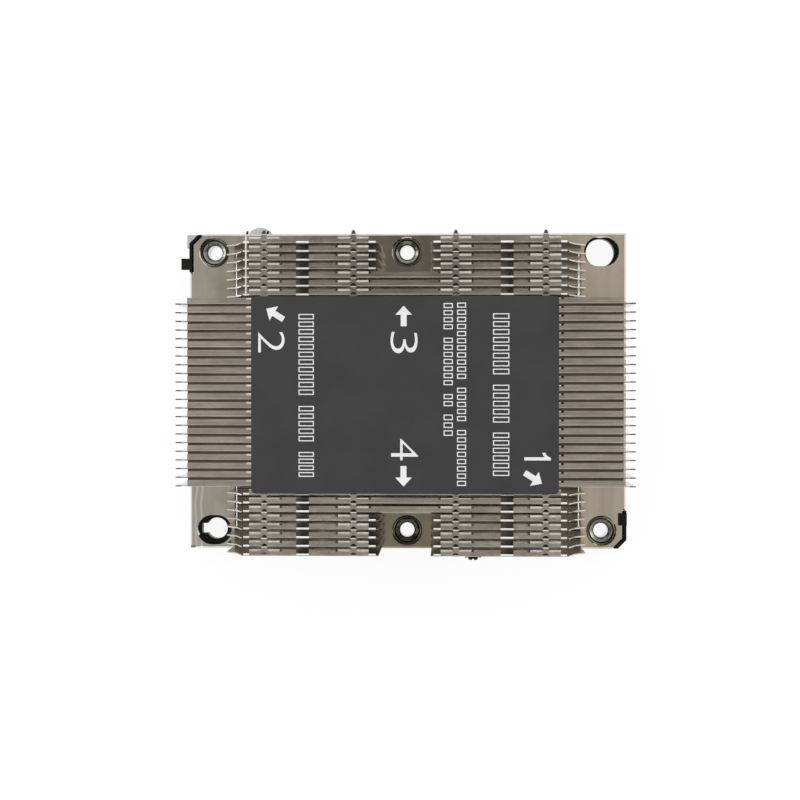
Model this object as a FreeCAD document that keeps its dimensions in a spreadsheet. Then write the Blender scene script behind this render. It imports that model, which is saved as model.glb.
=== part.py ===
import FreeCAD, Part
import math
import os
import Sketcher

# Passive heatsink for a one-unit server: a plated base plate with a stack of folded
# fins soldered on it, four captive nuts, a plastic carrier frame clipped under the
# plate and a clear cover over the paste.
# The origin is the middle of the face that meets the processor. X runs along the
# fins, Y across them and Z up, away from the processor.

doc = FreeCAD.newDocument("heatsink")

# Driving sizes in millimetres
drivingSizes = {
    "plateWidth": 108.0,
    "plateDepth": 78.0,
    "plateThickness": 4.5,
    "plateCornerCut": 3.0,
    "plateEdgeBevel": 0.4,
    "recessDepth": 0.5,
    "recessWidth": 7.0,
    "finHeight": 21.0,
    "finPitch": 2.04,
    "finThickness": 0.3,
    "finBendRadius": 0.15,
    "flangeDepth": 1.6,
    "firstRowInset": 4.28,
    "lastRowInset": 0.2,
    "longFlangeInset": 2.8,
    "sideFinNutGap": 5.1,
    "sideFlangeInset": 6.3,
    "sideTopInset": 4.5,
    "sideStepInset": 2.6,
    "sideStepDrop": 4.9,
    "sideEndDrop": 7.5,
    "wellWidth": 12.2,
    "wellFlangeGap": 16.9,
    "wellReach": 5.9,
    "cornerReach": 12.0,
    "windowShift": 1.475,
    "windowWidth": 3.0,
    "lockInset": 3.55,
    "tabWidth": 1.3,
    "tabReach": 0.7,
    "archWidth": 1.7,
    "archDepth": 0.9,
    "archDrop": 0.5,
    "lipLength": 7.2,
    "lipDrop": 0.6,
    "lipWidth": 0.3,
    "lipRound": 0.35,
    "notchWidth": 0.6,
    "notchDepth": 0.5,
    "nutInsetX": 6.0,
    "nutInsetY": 4.5,
    "nutHeadRadius": 3.2,
    "nutHeadHeight": 2.5,
    "nutTopSink": 0.2,
    "nutBowlDepth": 0.5,
    "nutRim": 0.15,
    "nutShankRadius": 2.6,
    "nutThreadRadius": 1.775,
    "nutFloat": 0.3,
    "nutHeadGap": 0.25,
    "nutShankGap": 0.08,
    "nutSeatBevel": 0.3,
    "nutTailLength": 1.0,
    "socketCoreRadius": 2.15,
    "socketLobeRadius": 0.48,
    "socketLobeCircle": 2.27,
    "socketDepth": 1.4,
    "ringThickness": 0.6,
    "ringOuterRadius": 3.5,
    "ringGrooveRadius": 2.25,
    "ringMouth": 2.8,
    "guideHoleLength": 8.6,
    "guideHoleWidth": 7.3,
    "carrierThickness": 2.5,
    "carrierNutGapX": 6.5,
    "carrierNutGapY": 0.75,
    "carrierRailX": 3.0,
    "carrierRailY": 1.5,
    "carrierArmWidth": 6.0,
    "eyeletOuterRadius": 4.4,
    "eyeletWideRadius": 3.52,
    "eyeletNarrowRadius": 2.65,
    "eyeletKeyWidth": 2.5,
    "eyeletKeyReach": 3.7,
    "clipWall": 0.6,
    "clipGap": 0.1,
    "clipTabReach": 2.0,
    "clipTabWidth": 2.8,
    "clipTabThickness": 1.2,
    "hookReach": 1.5,
    "hookWidth": 3.0,
    "hookThickness": 0.8,
    "gripRadius": 3.0,
    "gripCentreX": 16.4,
    "gripReach": 3.4,
    "gripRibDepth": 0.35,
    "coverThickness": 0.5,
    "coverMargin": 0.5,
    "coverRise": 1.5,
    "coverRiseGap": 1.0,
    "coverHoleRadius": 4.2,
    "coverThumbX": -37.3,
    "coverThumbRadius": 3.6,
    "coverThumbReach": 2.3,
    "coverCornerTab": 3.4,
    "coverCornerReach": 1.9,
    "pasteWidth": 52.0,
    "pasteDepth": 38.0,
    "pasteThickness": 0.2,
    "labelInset": 0.5,
    "labelDepth": 46.4,
    "labelThickness": 0.15,
    "labelCentreY": -0.8,
    "labelCornerRadius": 1.0,
}
lobeCount = 6
gripRibCount = 5

sheet = doc.addObject("Spreadsheet::Sheet", "sizes")
for line, (alias, number) in enumerate(drivingSizes.items(), start=1):
    sheet.set(f"A{line}", alias)
    sheet.set(f"B{line}", str(number))
    sheet.setAlias(f"B{line}", alias)
doc.recompute()


class Size:
    """A length together with the formula that it comes from."""

    def __init__(self, value, text):
        self.value = value
        self.text = text

    def __add__(self, other):
        other = asSize(other)
        return Size(self.value + other.value, f"({self.text} + {other.text})")

    def __sub__(self, other):
        other = asSize(other)
        return Size(self.value - other.value, f"({self.text} - {other.text})")

    def __mul__(self, factor):
        return Size(self.value * factor, f"({self.text} * {factor})")

    def __truediv__(self, factor):
        return Size(self.value / factor, f"({self.text} / {factor})")

    def __neg__(self):
        return self * -1


def asSize(number):
    return number if isinstance(number, Size) else Size(number, str(number))


def size(alias):
    return Size(float(sheet.get(alias)), f"sizes.{alias}")


zero = asSize(0.0)


def newBody(label, across=zero, deep=zero, up=zero):
    body = doc.addObject("PartDesign::Body", label)
    body.Label = label
    for axis, place in zip("xyz", (across, deep, up)):
        body.setExpression(f"Placement.Base.{axis}", place.text)
    return body


def newSketch(body, role, offset=zero):
    """A sketch on one of the body's own origin planes, moved along that plane's normal."""
    sketch = body.newObject("Sketcher::SketchObject", f"{body.Label}_sketch")
    plane = [item for item in body.Origin.OriginFeatures if item.Role == role][0]
    sketch.AttachmentSupport = [(plane, "")]
    sketch.MapMode = "FlatFace"
    sketch.setExpression("AttachmentOffset.Base.z", offset.text)
    return sketch


def arcThrough(start, end, radius, turn):
    """The shorter arc of a radius from start to end; turn is 1 to the left, -1 to the right."""
    chord = end - start
    rise = math.sqrt(max(radius ** 2 - (chord.Length / 2) ** 2, 0.0))
    left = FreeCAD.Vector(-chord.y, chord.x, 0).normalize()
    centre = (start + end) / 2 + left * rise * turn
    first, last = (start, end) if turn > 0 else (end, start)
    circle = Part.Circle(centre, FreeCAD.Vector(0, 0, 1), radius)
    angles = [math.atan2(point.y - centre.y, point.x - centre.x) for point in (first, last)]
    return Part.ArcOfCircle(circle, *angles)


def bind(sketch, rules):
    """Add the constraints at once, then tie each one that has a size to its formula."""
    first = sketch.ConstraintCount
    sketch.addConstraint([rule for rule, formula in rules])
    for index, (rule, formula) in enumerate(rules, start=first):
        if formula is not None:
            sketch.setExpression(f"Constraints[{index}]", formula)


def outline(sketch, corners):
    """A closed outline. A corner is (x, y), or (x, y, radius, turn) where an arc leads on."""
    first = sketch.GeometryCount
    points = [FreeCAD.Vector(corner[0].value, corner[1].value, 0) for corner in corners]
    count = len(corners)
    edges = []
    ends = []
    for index, corner in enumerate(corners):
        start, end = points[index], points[(index + 1) % count]
        if len(corner) == 2:
            edges.append(Part.LineSegment(start, end))
            ends.append((1, 2))
        else:
            edges.append(arcThrough(start, end, corner[2].value, corner[3]))
            ends.append((1, 2) if corner[3] > 0 else (2, 1))
    sketch.addGeometry(edges, False)
    rules = []
    for index, corner in enumerate(corners):
        edge = first + index
        ahead = (index + 1) % count
        start = ends[index][0]
        joined = Sketcher.Constraint("Coincident", edge, ends[index][1], first + ahead, ends[ahead][0])
        rules.append((joined, None))
        for kind, place in (("DistanceX", corner[0]), ("DistanceY", corner[1])):
            rules.append((Sketcher.Constraint(kind, -1, 1, edge, start, place.value), place.text))
        if len(corner) == 4:
            rules.append((Sketcher.Constraint("Radius", edge, corner[2].value), corner[2].text))
    bind(sketch, rules)


def circle(sketch, across, along, radius):
    edge = sketch.GeometryCount
    centre = FreeCAD.Vector(across.value, along.value, 0)
    sketch.addGeometry(Part.Circle(centre, FreeCAD.Vector(0, 0, 1), radius.value), False)
    bind(sketch, [
        (Sketcher.Constraint("DistanceX", -1, 1, edge, 3, across.value), across.text),
        (Sketcher.Constraint("DistanceY", -1, 1, edge, 3, along.value), along.text),
        (Sketcher.Constraint("Radius", edge, radius.value), radius.text),
    ])


def rectangle(sketch, left, right, low, high):
    outline(sketch, [(left, low), (right, low), (right, high), (left, high)])


def span(side, near, far):
    """The two ends of a stretch from near to far on one side, in rising order."""
    return (near, far) if side > 0 else (-far, -near)


def extrude(body, sketch, length, kind="PartDesign::Pad", reverse=False):
    feature = body.newObject(kind, f"{body.Label}_{kind.split('::')[1].lower()}")
    feature.Profile = sketch
    feature.setExpression("Length", length.text)
    feature.Reversed = reverse
    return feature


def cut(body, sketch, depth, reverse=False):
    return extrude(body, sketch, depth, "PartDesign::Pocket", reverse)


# Sizes that follow from the driving ones
plateTop = size("plateThickness")
finTop = size("finHeight")
bendOuter = size("finThickness") + size("finBendRadius")
halfWidth = size("plateWidth") / 2
halfDepth = size("plateDepth") / 2
nutX = halfWidth - size("nutInsetX")
nutY = halfDepth - size("nutInsetY")
rowOneY = halfDepth - size("firstRowInset")
rowCount = 1 + int((rowOneY + halfDepth - size("lastRowInset")).value // size("finPitch").value)
longFlangeEnd = halfWidth - size("longFlangeInset")
sideFinEnd = nutX - size("sideFinNutGap")
sideFlangeEnd = sideFinEnd - size("sideFlangeInset")
wellSheetEnd = size("wellWidth") / 2
wellFlangeEnd = size("wellFlangeGap") / 2
outerLipStart = sideFlangeEnd - size("lipLength")
innerLipEnd = wellFlangeEnd + size("lipLength")
windowCentre = (outerLipStart + innerLipEnd) / 2 + size("windowShift")
shankBore = size("nutShankRadius") + size("nutShankGap")
headBore = size("nutHeadRadius") + size("nutHeadGap")
nutTop = plateTop - size("nutTopSink")
headBottom = nutTop - size("nutHeadHeight")
seatHeight = headBottom - size("nutFloat")
ringTop = -size("nutFloat")
ringBottom = ringTop - size("ringThickness")
nutBottom = ringBottom - size("nutTailLength")
carrierBottom = -size("carrierThickness")
coverBottom = carrierBottom - size("coverThickness")
recessFace = halfWidth - size("recessDepth")
recessHigh = halfDepth - size("plateCornerCut") + size("recessDepth")
recessLow = recessHigh - size("recessWidth")
carrierOutX = nutX - size("carrierNutGapX")
carrierOutY = nutY - size("ringOuterRadius") - size("carrierNutGapY")
carrierOpenX = carrierOutX - size("carrierRailX")
carrierOpenY = carrierOutY - size("carrierRailY")
guideFlat = (size("guideHoleLength") - size("guideHoleWidth")) / 2
nutPlaces = {1: (1, -1), 2: (-1, 1), 3: (0, 1), 4: (0, -1)}
guidePlaces = [(1, 1), (-1, -1)]


def makePlate():
    """Plated slab with two cut corners, stepped nut holes and oblong guide holes."""
    body = newBody("base_plate")
    sketch = newSketch(body, "XY_Plane")
    cutX = halfWidth - size("plateCornerCut")
    outline(sketch, [
        (-halfWidth, -halfDepth), (cutX, -halfDepth), (recessFace, -recessHigh),
        (recessFace, -recessLow), (halfWidth, -recessLow), (halfWidth, halfDepth),
        (-cutX, halfDepth), (-recessFace, recessHigh), (-recessFace, recessLow),
        (-halfWidth, recessLow),
    ])
    extrude(body, sketch, plateTop)
    bores = newSketch(body, "XY_Plane")
    for sideX, sideY in nutPlaces.values():
        circle(bores, nutX * sideX, nutY * sideY, shankBore)
    for sideX, sideY in guidePlaces:
        middleX, middleY = nutX * sideX, nutY * sideY
        left, right = middleX - guideFlat, middleX + guideFlat
        radius = size("guideHoleWidth") / 2
        outline(bores, [
            (left, middleY - radius), (right, middleY - radius, radius, 1),
            (middleX + size("guideHoleLength") / 2, middleY, radius, 1),
            (right, middleY + radius), (left, middleY + radius, radius, 1),
            (middleX - size("guideHoleLength") / 2, middleY, radius, 1),
        ])
    cut(body, bores, plateTop, reverse=True)
    seats = newSketch(body, "XY_Plane", plateTop)
    for sideX, sideY in nutPlaces.values():
        circle(seats, nutX * sideX, nutY * sideY, headBore)
    cut(body, seats, plateTop - seatHeight)
    doc.recompute()
    bevelEdges(body, plateTop.value, size("plateEdgeBevel"), rim=True)
    bevelEdges(body, plateTop.value, size("nutSeatBevel"), rim=False)
    return body


def bevelEdges(body, height, bevel, rim):
    """Bevel the edges of the top face: its outer rim, or the round mouths of the nut holes."""
    base = body.Tip
    names = []
    for number, edge in enumerate(base.Shape.Edges, start=1):
        box = edge.BoundBox
        atTop = abs(box.ZMin - height) < 1e-6 and abs(box.ZMax - height) < 1e-6
        isMouth = isinstance(edge.Curve, Part.Circle) and abs(edge.Curve.Radius - headBore.value) < 1e-6
        isLine = isinstance(edge.Curve, Part.Line)
        isRim = isLine and max(abs(box.XMin), abs(box.XMax)) > recessFace.value - 1e-6
        isSide = isLine and max(abs(box.YMin), abs(box.YMax)) > halfDepth.value - 1e-6
        if atTop and ((isRim or isSide) if rim else isMouth):
            names.append(f"Edge{number}")
    feature = body.newObject("PartDesign::Chamfer", f"{body.Label}_bevel")
    feature.Base = (base, names)
    feature.setExpression("Size", bevel.text)
    doc.recompute()


def finSection(body, start, length):
    """The folded section: an upright sheet with a flange at the foot and one at the top."""
    thick = size("finThickness")
    depth = size("flangeDepth")
    inner = size("finBendRadius")
    sketch = newSketch(body, "YZ_Plane", start)
    outline(sketch, [
        (depth, zero), (depth, thick), (bendOuter, thick, inner, -1),
        (thick, bendOuter), (thick, finTop - bendOuter, inner, -1),
        (bendOuter, finTop - thick), (depth, finTop - thick), (depth, finTop),
        (bendOuter, finTop, bendOuter, 1), (zero, finTop - bendOuter),
        (zero, bendOuter, bendOuter, 1), (bendOuter, zero),
    ])
    extrude(body, sketch, length)


def lockPlaces(side):
    """The tabs sit near the middle of each turned-down stretch."""
    outer = sideFlangeEnd - size("lockInset")
    inner = wellFlangeEnd + size("lockInset")
    return [outer * side, inner * side]


def lipStretches(side):
    """Where the flange's front edge is turned down, around each tab."""
    return [span(side, outerLipStart, sideFlangeEnd), span(side, wellFlangeEnd, innerLipEnd)]


def notchPlaces(isLong, crossesWell):
    """Relief notches beside the turned-down stretches."""
    halfNotch = size("notchWidth") / 2
    places = [outerLipStart - halfNotch, innerLipEnd + halfNotch]
    if isLong:
        places.append(sideFlangeEnd + halfNotch)
    if crossesWell:
        places.append(wellFlangeEnd - halfNotch)
    return places


def makeFin(label, back, sides, isLong):
    """One folded fin, or one half of a row that stops at a nut's well."""
    depth = size("flangeDepth")
    crossesWell = len(sides) == 2
    halfSheet = halfWidth if isLong else sideFinEnd
    halfFlange = longFlangeEnd if isLong else sideFlangeEnd
    body = newBody(label, deep=back, up=plateTop)
    if crossesWell:
        finSection(body, -halfSheet, halfSheet * 2)
    else:
        finSection(body, span(sides[0], wellSheetEnd, halfSheet)[0], halfSheet - wellSheetEnd)

    # Ends and windows of the top flange
    openings = newSketch(body, "XY_Plane", finTop)
    for side in sides:
        rectangle(openings, *span(side, halfFlange, halfSheet), size("finThickness"), depth)
        near = windowCentre - size("windowWidth") / 2
        far = windowCentre + size("windowWidth") / 2
        rectangle(openings, *span(side, near, far), size("finThickness"), depth)
        if not crossesWell:
            rectangle(openings, *span(side, wellSheetEnd, wellFlangeEnd), size("finThickness"), depth)
    cut(body, openings, size("archDrop"))

    # Relief notches in the flange's front edge
    notches = newSketch(body, "XY_Plane", finTop)
    for side in sides:
        for place in notchPlaces(isLong, crossesWell):
            near, far = place - size("notchWidth") / 2, place + size("notchWidth") / 2
            rectangle(notches, *span(side, near, far), depth - size("notchDepth"), depth)
    cut(body, notches, size("archDrop"))

    # Arches that take the tabs of the fin behind
    arches = newSketch(body, "XY_Plane", finTop)
    radius = size("archWidth") / 2
    for lock in [place for side in sides for place in lockPlaces(side)]:
        outline(arches, [
            (lock - radius, zero), (lock + radius, zero),
            (lock + radius, size("archDepth") - radius, radius, 1),
            (lock, size("archDepth"), radius, 1), (lock - radius, size("archDepth") - radius),
        ])
    cut(body, arches, size("archDrop"))

    # Turned-down front edge
    lips = newSketch(body, "XY_Plane", finTop)
    for side in sides:
        for left, right in lipStretches(side):
            rectangle(lips, left, right, depth - size("lipWidth"), depth)
    extrude(body, lips, size("lipDrop"), reverse=True)
    doc.recompute()
    roundLips(body, sides)

    # Locking tabs that reach over the fin in front
    tabs = newSketch(body, "XY_Plane", finTop)
    for side in sides:
        for lock in lockPlaces(side):
            half = size("tabWidth") / 2
            root = depth - size("lipRound")
            rectangle(tabs, lock - half, lock + half, root, depth + size("tabReach"))
    extrude(body, tabs, size("finThickness"), reverse=True)

    # Stepped outer end of the short rows
    if not isLong:
        steps = newSketch(body, "XZ_Plane")
        for side in sides:
            topEnd = (sideFinEnd - size("sideTopInset")) * side
            stepEnd = (sideFinEnd - size("sideStepInset")) * side
            end = sideFinEnd * side
            outline(steps, [
                (topEnd, finTop), (stepEnd, finTop - size("sideStepDrop")),
                (end, finTop - size("sideEndDrop")), (end, finTop),
            ])
        cut(body, steps, depth)
    return body


def roundLips(body, sides):
    """Round the bend along the top of each turned-down stretch."""
    base = body.Tip
    middles = []
    for side in sides:
        for left, right in lipStretches(side):
            middles.append((left.value + right.value) / 2)
    front = body.Placement.Base.y + size("flangeDepth").value
    top = body.Placement.Base.z + finTop.value
    names = []
    for number, edge in enumerate(body.Shape.Edges, start=1):
        box = edge.BoundBox
        isFront = abs(box.YMin - front) < 1e-6 and abs(box.YMax - front) < 1e-6
        isTop = abs(box.ZMin - top) < 1e-6 and abs(box.ZMax - top) < 1e-6
        if isFront and isTop and any(box.XMin < middle < box.XMax for middle in middles):
            names.append(f"Edge{number}")
    rounded = body.newObject("PartDesign::Fillet", f"{body.Label}_round")
    rounded.Base = (base, names)
    rounded.setExpression("Radius", size("lipRound").text)


def copyOf(master, label, across=zero, deep=zero, up=zero):
    """The same piece again at another place."""
    copy = doc.addObject("App::Link", label)
    copy.LinkedObject = master
    copy.Label = label
    for axis, place in zip("xyz", (across, deep, up)):
        copy.setExpression(f"Placement.Base.{axis}", place.text)
    return copy


def stackRows():
    """A row is long in the middle, short beside the corner holes and split at a nut's well."""
    masters = {}
    for row in range(1, rowCount + 1):
        back = rowOneY - size("finPitch") * (row - 1)
        reach = max(abs(back.value), abs(back.value + size("flangeDepth").value))
        isLong = reach <= nutY.value - size("cornerReach").value
        isSplit = reach > nutY.value - size("wellReach").value
        halves = {"_left": (-1,), "_right": (1,)} if isSplit else {"": (-1, 1)}
        for ending, sides in halves.items():
            label = f"fin_{row:02d}{ending}"
            if (sides, isLong) in masters:
                copyOf(masters[sides, isLong], label, deep=back, up=plateTop)
            else:
                masters[sides, isLong] = makeFin(label, back, sides, isLong)


def makeNut(label, place):
    """Hollow captive nut: head with a six-lobed socket, grooved shank, open right through."""
    body = newBody(label, *place)
    socketTop = nutTop - size("nutBowlDepth")
    socketFloor = socketTop - size("socketDepth")
    lobeReach = size("socketLobeCircle") + size("socketLobeRadius")
    profile = newSketch(body, "XZ_Plane")
    outline(profile, [
        (size("nutThreadRadius"), nutBottom), (size("nutShankRadius"), nutBottom),
        (size("nutShankRadius"), ringBottom), (size("ringGrooveRadius"), ringBottom),
        (size("ringGrooveRadius"), ringTop), (size("nutShankRadius"), ringTop),
        (size("nutShankRadius"), headBottom), (size("nutHeadRadius"), headBottom),
        (size("nutHeadRadius"), nutTop), (size("nutHeadRadius") - size("nutRim"), nutTop),
        (lobeReach, socketTop), (size("socketCoreRadius"), socketTop),
        (size("socketCoreRadius"), socketFloor), (size("nutThreadRadius"), socketFloor),
    ])
    turned = body.newObject("PartDesign::Revolution", f"{label}_turned")
    turned.Profile = profile
    turned.ReferenceAxis = (profile, ["V_Axis"])
    turned.Angle = 360
    lobe = newSketch(body, "XY_Plane", socketTop)
    circle(lobe, size("socketLobeCircle"), zero, size("socketLobeRadius"))
    lobeCut = cut(body, lobe, size("socketDepth"))
    doc.recompute()
    lobes = body.newObject("PartDesign::PolarPattern", f"{label}_lobes")
    lobes.Originals = [lobeCut]
    lobes.Axis = (profile, ["V_Axis"])
    lobes.Angle = 360
    lobes.Occurrences = lobeCount
    body.Tip = lobes
    return body


def makeRing(label, place):
    """Open spring ring that snaps into the groove of the shank, under the plate."""
    body = newBody(label, *place)
    flat = newSketch(body, "XY_Plane", ringBottom)
    circle(flat, zero, zero, size("ringOuterRadius"))
    circle(flat, zero, zero, size("ringGrooveRadius"))
    extrude(body, flat, size("ringThickness"))
    mouth = newSketch(body, "XY_Plane", ringTop)
    half = size("ringMouth") / 2
    rectangle(mouth, -half, half, zero, size("ringOuterRadius") * 2)
    cut(body, mouth, size("ringThickness"))
    return body


def makeNuts():
    """Four alike, numbered in the order in which they are tightened."""
    nut, ring = None, None
    for number, (sideX, sideY) in nutPlaces.items():
        place = (nutX * sideX, nutY * sideY)
        if nut is None:
            nut = makeNut(f"captive_nut_{number}", place)
            ring = makeRing(f"retaining_ring_{number}", place)
        else:
            copyOf(nut, f"captive_nut_{number}", *place)
            copyOf(ring, f"retaining_ring_{number}", *place)


def padFlat(body, height, thickness, *shapes):
    """Add one flat layer from a height upwards; each shape is a (maker, sizes) pair."""
    sketch = newSketch(body, "XY_Plane", height)
    for maker, sizes in shapes:
        maker(sketch, *sizes)
    return extrude(body, sketch, thickness)


def cutFlat(body, height, thickness, *shapes):
    """Take one flat layer away from a height upwards."""
    sketch = newSketch(body, "XY_Plane", height)
    for maker, sizes in shapes:
        maker(sketch, *sizes)
    return cut(body, sketch, thickness, reverse=True)


def clipWallOutline(side):
    """The thin wall that follows the plate's recess and its cut corner."""
    diagonal = math.sqrt(2)
    inner = size("clipGap")
    outer = size("clipGap") + size("clipWall")
    low = recessLow + size("clipGap")
    high = halfDepth - size("clipGap")
    corner = recessFace + recessHigh
    corners = [
        (recessFace + inner, low), (recessFace + outer, low),
        (recessFace + outer, recessHigh + outer * (diagonal - 1)),
        (corner + outer * diagonal - high, high), (corner + inner * diagonal - high, high),
        (recessFace + inner, recessHigh + inner * (diagonal - 1)),
    ]
    return [(across * -side, along * side) for across, along in corners]


def makeCarrier():
    """Plastic frame under the plate: processor window, two eyelets, two clips and a grip."""
    body = newBody("carrier_frame")
    thick = size("carrierThickness")
    rail = (rectangle, (-carrierOutX, carrierOutX, -carrierOutY, carrierOutY))
    window = (rectangle, (-carrierOpenX, carrierOpenX, -carrierOpenY, carrierOpenY))
    padFlat(body, carrierBottom, thick, rail, window)
    armLow = carrierOutY - size("carrierArmWidth") / 2
    armHigh = carrierOutY + size("carrierArmWidth") / 2
    for sideX, sideY in guidePlaces:
        across, along = span(sideX, carrierOpenX, nutX), span(sideY, armLow, armHigh)
        padFlat(body, carrierBottom, thick, (rectangle, (*across, *along)))
        eyelet = (nutX * sideX, nutY * sideY, size("eyeletOuterRadius"))
        padFlat(body, carrierBottom, thick, (circle, eyelet))
    clipEnd = recessFace + size("clipGap") + size("clipWall")
    armTop = recessLow + size("clipWall") * 2
    for side in (1, -1):
        across = span(-side, carrierOpenX, clipEnd)
        along = span(side, armTop - size("carrierArmWidth"), armTop)
        padFlat(body, carrierBottom, thick, (rectangle, (*across, *along)))
        padFlat(body, carrierBottom, thick + plateTop, (outline, (clipWallOutline(side),)))

    # Outward tab of the upper left clip, and the hook of the lower right one
    middle = recessLow + size("recessWidth") / 2 - size("clipTabWidth") / 2
    half = size("clipTabWidth") / 2
    padFlat(body, plateTop - size("clipTabThickness"), size("clipTabThickness"),
            (rectangle, (-clipEnd - size("clipTabReach"), -clipEnd, middle - half, middle + half)))
    half = size("hookWidth") / 2
    padFlat(body, plateTop, size("hookThickness"),
            (rectangle, (clipEnd - size("hookReach") - size("clipWall"), clipEnd,
                         -middle - half, -middle + half)))

    # Ribbed grip that sticks out past the plate
    gripX, gripY = size("gripCentreX"), -halfDepth - size("gripReach") + size("gripRadius")
    radius = size("gripRadius")
    padFlat(body, carrierBottom, thick, (rectangle, (gripX - radius, gripX + radius, gripY, -carrierOpenY)))
    padFlat(body, carrierBottom, thick, (circle, (gripX, gripY, radius)))
    grooves = []
    for rib in range(gripRibCount):
        angle = math.pi * (1 + (rib + 1) / (gripRibCount + 1))
        place = (gripX + radius * math.cos(angle), gripY + radius * math.sin(angle))
        grooves.append((circle, (*place, size("gripRibDepth"))))
    cutFlat(body, carrierBottom, thick, *grooves)

    # Round eyelet at the upper right, keyhole at the lower left
    wide = (nutX, nutY, size("eyeletWideRadius"))
    narrow = (-nutX, -nutY, size("eyeletNarrowRadius"))
    cutFlat(body, carrierBottom, thick, (circle, wide), (circle, narrow))
    half = size("eyeletKeyWidth") / 2
    key = (-nutX - size("eyeletKeyReach"), -nutX, -nutY - half, -nutY + half)
    cutFlat(body, carrierBottom, thick, (rectangle, key))


def makeCover():
    """Thin moulded cover with a raised middle that keeps clear of the paste."""
    body = newBody("paste_cover")
    thick = size("coverThickness")
    edgeX, edgeY = halfWidth - size("coverMargin"), halfDepth - size("coverMargin")
    cutX, cutY = edgeX - size("plateCornerCut"), edgeY - size("plateCornerCut")
    holes = []
    for sideX, sideY in [*nutPlaces.values(), *guidePlaces]:
        holes.append((circle, (nutX * sideX, nutY * sideY, size("coverHoleRadius"))))
    corners = [(-edgeX, -edgeY), (cutX, -edgeY), (edgeX, -cutY), (edgeX, edgeY), (-edgeX, edgeY)]
    padFlat(body, coverBottom, thick, (outline, (corners,)))
    tabX, tabY = -halfWidth - size("coverCornerReach"), halfDepth + size("coverMargin")
    tab = size("coverCornerTab")
    padFlat(body, coverBottom, thick, (rectangle, (tabX, tabX + tab, tabY - tab, tabY)))
    thumbY = halfDepth + size("coverThumbReach") - size("coverThumbRadius")
    thumb = (size("coverThumbX"), thumbY, size("coverThumbRadius"))
    padFlat(body, coverBottom, thick, (circle, thumb))
    riseX, riseY = carrierOpenX - size("coverRiseGap"), carrierOpenY - size("coverRiseGap")
    padFlat(body, coverBottom, thick + size("coverRise"), (rectangle, (-riseX, riseX, -riseY, riseY)))
    inX, inY = riseX - thick, riseY - thick
    cutFlat(body, coverBottom, size("coverRise"), (rectangle, (-inX, inX, -inY, inY)))
    cutFlat(body, coverBottom, thick, *holes)


def makePaste():
    """Printed layer of thermal paste on the face that meets the processor."""
    body = newBody("thermal_paste")
    halfX, halfY = size("pasteWidth") / 2, size("pasteDepth") / 2
    thick = size("pasteThickness")
    padFlat(body, -thick, thick, (rectangle, (-halfX, halfX, -halfY, halfY)))


def makeLabel():
    """Stiff plastic label stuck on the flanges."""
    body = newBody("label", deep=size("labelCentreY"), up=plateTop + finTop)
    halfX, halfY = sideFlangeEnd - size("labelInset"), size("labelDepth") / 2
    radius = size("labelCornerRadius")
    corners = [
        (radius - halfX, -halfY), (halfX - radius, -halfY, radius, 1),
        (halfX, radius - halfY), (halfX, halfY - radius, radius, 1),
        (halfX - radius, halfY), (radius - halfX, halfY, radius, 1),
        (-halfX, halfY - radius), (-halfX, radius - halfY, radius, 1),
    ]
    padFlat(body, zero, size("labelThickness"), (outline, (corners,)))


makePlate()
stackRows()
makeNuts()
makeCarrier()
makeCover()
makePaste()
makeLabel()
doc.recompute()

# Check every object, then write each piece
for item in doc.Objects:
    if "Invalid" in item.State or "Error" in item.State:
        raise RuntimeError(f"{item.Label} failed: {item.State}")
pieces = [item for item in doc.Objects if item.TypeId in ("PartDesign::Body", "App::Link")]
for piece in pieces:
    if piece.Shape.isNull() or not piece.Shape.isValid() or len(piece.Shape.Solids) != 1:
        raise RuntimeError(f"{piece.Label} has no valid single solid")
os.makedirs("parts", exist_ok=True)
for piece in pieces:
    piece.Shape.exportStep(f"parts/{piece.Label}.step")
print(f"{len(pieces)} pieces written")
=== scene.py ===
import functools
import math

import bmesh
import bpy
import numpy as np
from mathutils import Matrix, Vector


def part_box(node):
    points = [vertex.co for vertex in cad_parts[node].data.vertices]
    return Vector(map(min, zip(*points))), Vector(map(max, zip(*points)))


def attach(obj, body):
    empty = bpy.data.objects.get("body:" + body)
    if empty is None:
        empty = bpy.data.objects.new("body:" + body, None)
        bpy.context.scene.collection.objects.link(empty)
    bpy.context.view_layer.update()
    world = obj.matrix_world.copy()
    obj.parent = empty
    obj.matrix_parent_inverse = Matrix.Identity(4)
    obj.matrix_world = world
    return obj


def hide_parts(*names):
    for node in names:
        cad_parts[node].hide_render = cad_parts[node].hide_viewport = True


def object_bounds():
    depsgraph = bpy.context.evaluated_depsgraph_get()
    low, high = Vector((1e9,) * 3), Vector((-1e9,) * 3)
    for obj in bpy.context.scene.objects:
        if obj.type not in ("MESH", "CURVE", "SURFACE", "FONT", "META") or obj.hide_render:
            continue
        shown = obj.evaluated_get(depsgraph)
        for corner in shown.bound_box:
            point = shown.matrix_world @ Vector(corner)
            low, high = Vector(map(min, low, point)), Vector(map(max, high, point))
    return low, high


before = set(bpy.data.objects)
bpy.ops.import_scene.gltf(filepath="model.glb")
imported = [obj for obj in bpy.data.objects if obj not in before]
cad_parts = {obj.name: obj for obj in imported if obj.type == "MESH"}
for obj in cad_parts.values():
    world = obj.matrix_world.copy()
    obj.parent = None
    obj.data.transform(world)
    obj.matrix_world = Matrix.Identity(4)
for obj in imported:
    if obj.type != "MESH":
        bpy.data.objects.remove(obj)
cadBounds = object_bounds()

print("frame loaded:", len(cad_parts), "nodes")

mm = 0.001


# Colours and nodes

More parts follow.
